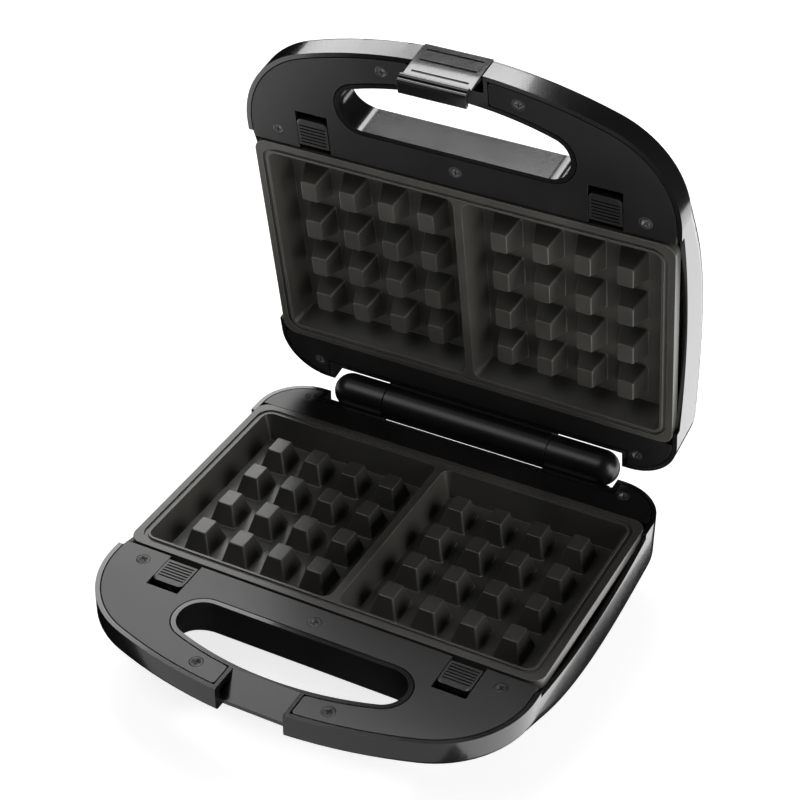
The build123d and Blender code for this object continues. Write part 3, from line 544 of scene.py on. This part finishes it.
blackened = surface("blackened_steel", dark=(0.010, 0.010, 0.010), light=(0.018, 0.018, 0.018),
                    rough=(0.32, 0.44), grain=1200, relief=0.01 * mm, worn=(0.12, 0.12, 0.12))
screw = linked("screw_form", smooth_mesh(screw_form(), "screw_form", pattern_angle))
cross = linked("cross_form", smooth_mesh(cross_form(), "cross_form", pattern_angle))
cut(screw, cross)
bpy.data.objects.remove(cross)
for number, (half, body) in enumerate(half_body.items()):
    tops = island_tops(half + "_cover_screws", half_place[half])
    screw_values = {"Form": screw, "Turn": math.pi, "Seed": first_screw_seed + number, "Material": blackened}
    heads = grown(half + "_screw_heads", repeat, screw_values, tops)
    heads.data.transform(half_place[half])
    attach(heads, body)
    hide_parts(half + "_cover_screws")
bpy.data.objects.remove(screw)

# ---- Release buttons ---------------------------------------------------------------------------
# Ribbed sliding buttons, two in each half, moulded in satin black plastic. They run in pockets of
# the housing at the plate's front edge, hold it by its lugs, and let it go when pushed.
button_radius = 0.15 * mm
button_black = surface("button_black_plastic", dark=(0.008, 0.008, 0.008), light=(0.014, 0.014, 0.014),
                       rough=(0.30, 0.42), grain=1500, relief=0.03 * mm)
for half in half_body:
    for end in ("left", "right"):
        name = f"{half}_button_{end}"
        button = rounded(merged(name, whole=False), name + "_cap", button_black, name, button_radius)
        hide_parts(name)

# ---- Return springs ----------------------------------------------------------------------------
# A drawn-wire coil behind each button pushes it back under the plate's lug.
spring_wire = surface("spring_wire", dark=(0.4, 0.4, 0.4), light=(0.55, 0.55, 0.55), rough=(0.2, 0.35),
                      grain=2500, relief=0.01 * mm, metallic=1.0)
wire_radius = 0.25 * mm
wire_sides = 10
coil_radius = 1.8 * mm
coil_turns = 7.0
coil_steps = 24                     # straight steps in each turn


def coil_tree():
    """Coil spring along Y from the origin, with the ends of its wire closed."""
    tree, given, out = node_tree("coil_spring", [("Turns", "NodeSocketFloat"), ("Radius", "NodeSocketFloat"),
                                                 ("Length", "NodeSocketFloat"), ("Wire", "NodeSocketFloat"),
                                                 ("Material", "NodeSocketMaterial")])
    path = tree.nodes.new("GeometryNodeCurveSpiral")
    path.inputs["Resolution"].default_value = coil_steps
    connect(tree, given, "Turns", path, "Rotations")
    connect(tree, given, "Radius", path, "Start Radius")
    connect(tree, given, "Radius", path, "End Radius")
    connect(tree, given, "Length", path, "Height")
    ring = tree.nodes.new("GeometryNodeCurvePrimitiveCircle")
    ring.inputs["Resolution"].default_value = wire_sides
    connect(tree, given, "Wire", ring, "Radius")
    skin = tree.nodes.new("GeometryNodeCurveToMesh")
    skin.inputs["Fill Caps"].default_value = True
    connect(tree, path, "Curve", skin, "Curve")
    connect(tree, ring, "Curve", skin, "Profile Curve")
    along_y = tree.nodes.new("GeometryNodeTransform")
    along_y.inputs["Rotation"].default_value = (-math.pi / 2, 0, 0)
    connect(tree, skin, "Mesh", along_y, "Geometry")
    end_tree(tree, along_y, "Geometry", given, out)
    return tree


coil = coil_tree()
for half, body in half_body.items():
    for end in ("left", "right"):
        node = f"{half}_button_spring_{end}"
        shape = merged(node)
        shape.transform(half_place[half].inverted())
        low, high = corners(shape.verts)
        shape.free()
        coil_values = {"Turns": coil_turns, "Radius": coil_radius, "Length": high.y - low.y - 2 * wire_radius,
                       "Wire": wire_radius, "Material": spring_wire}
        spring = grown(node + "_coil", coil, coil_values)
        seat = Vector(((low.x + high.x) / 2, low.y + wire_radius, (low.z + high.z) / 2))
        spring.data.transform(half_place[half] @ Matrix.Translation(seat))
        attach(spring, body)
        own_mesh(spring)
        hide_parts(node)

# ---- Hinge -------------------------------------------------------------------------------------
# A round barrel moulded in satin black plastic, fixed to the lid. It turns between two round-ended
# caps on the base, on steel tube pins.
barrel_black = surface("satin_black_barrel", dark=(0.006, 0.006, 0.006), light=(0.010, 0.010, 0.0105),
                       rough=(0.30, 0.40), grain=1400, relief=0.02 * mm, worn=(0.04, 0.04, 0.04))


def refinished(node, material):
    """Gives a CAD node whose shape stays a finish of its own."""
    mesh = nodes[node].data
    mesh.materials.clear()
    mesh.materials.append(material)


for node in ("hinge_barrel", "hinge_cap_left", "hinge_cap_right"):
    refinished(node, barrel_black)

# ---- Latch -------------------------------------------------------------------------------------
# A springy clip moulded in polished black plastic, with ribbed thumb flats and a hook at its free
# edge. It turns on a pin in the lid's handle.
clip_radius = 0.3 * mm
clip = rounded(merged("latch_clip"), "latch_body", black_gloss, "latch", clip_radius)
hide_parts("latch_clip")

# ---- Metal and inner pieces --------------------------------------------------------------------
# What the housings hold: drawn and pressed steel, aluminium pans, the heating rods' sheath, sleeved
# wires and pale moulded blocks. The rubber feet and the two tinted lenses in the lid are here too.
inner = {
    "spring_steel": spring_wire,
    "bright_steel": surface("plated_steel", dark=(0.5, 0.5, 0.5), light=(0.62, 0.62, 0.61), rough=(0.2, 0.34),
                            grain=1800, relief=0.01 * mm, metallic=1.0),
    "black_screw": blackened,
    "pressed_aluminium": surface("pressed_aluminium", dark=(0.62, 0.62, 0.62), light=(0.78, 0.78, 0.78),
                                 rough=(0.3, 0.45), grain=900, relief=0.02 * mm, metallic=1.0,
                                 stretch=(1, 8, 1)),
    "element_sheath": surface("element_sheath", dark=(0.16, 0.14, 0.12), light=(0.28, 0.25, 0.22),
                              rough=(0.4, 0.6), grain=1400, relief=0.02 * mm, metallic=0.9),
    "black_rubber": surface("black_rubber", dark=(0.018, 0.018, 0.018), light=(0.03, 0.03, 0.03),
                            rough=(0.6, 0.8), grain=1500, relief=0.05 * mm),
    "pale_plastic": surface("pale_moulding", dark=(0.62, 0.6, 0.52), light=(0.72, 0.7, 0.62),
                            rough=(0.4, 0.55), grain=1200, relief=0.03 * mm),
    "wire_sleeve": surface("wire_sleeve", dark=(0.6, 0.6, 0.55), light=(0.8, 0.8, 0.74),
                           rough=(0.6, 0.8), grain=3000, relief=0.06 * mm),
    "lamp_glass": surface("lamp_glass", dark=(0.7, 0.45, 0.35), light=(0.85, 0.6, 0.5),
                          rough=(0.05, 0.12), grain=900, relief=0.005 * mm),
    "red_lens": surface("red_lens", dark=(0.35, 0.01, 0.01), light=(0.5, 0.02, 0.015),
                        rough=(0.06, 0.14), grain=900, relief=0.005 * mm, coat=0.5),
    "green_lens": surface("green_lens", dark=(0.01, 0.22, 0.04), light=(0.015, 0.32, 0.06),
                          rough=(0.06, 0.14), grain=900, relief=0.005 * mm, coat=0.5),
}
for entry in frame["record"]["subparts"]:
    if entry["material_slot"] in inner:
        refinished(entry["node"], inner[entry["material_slot"]])
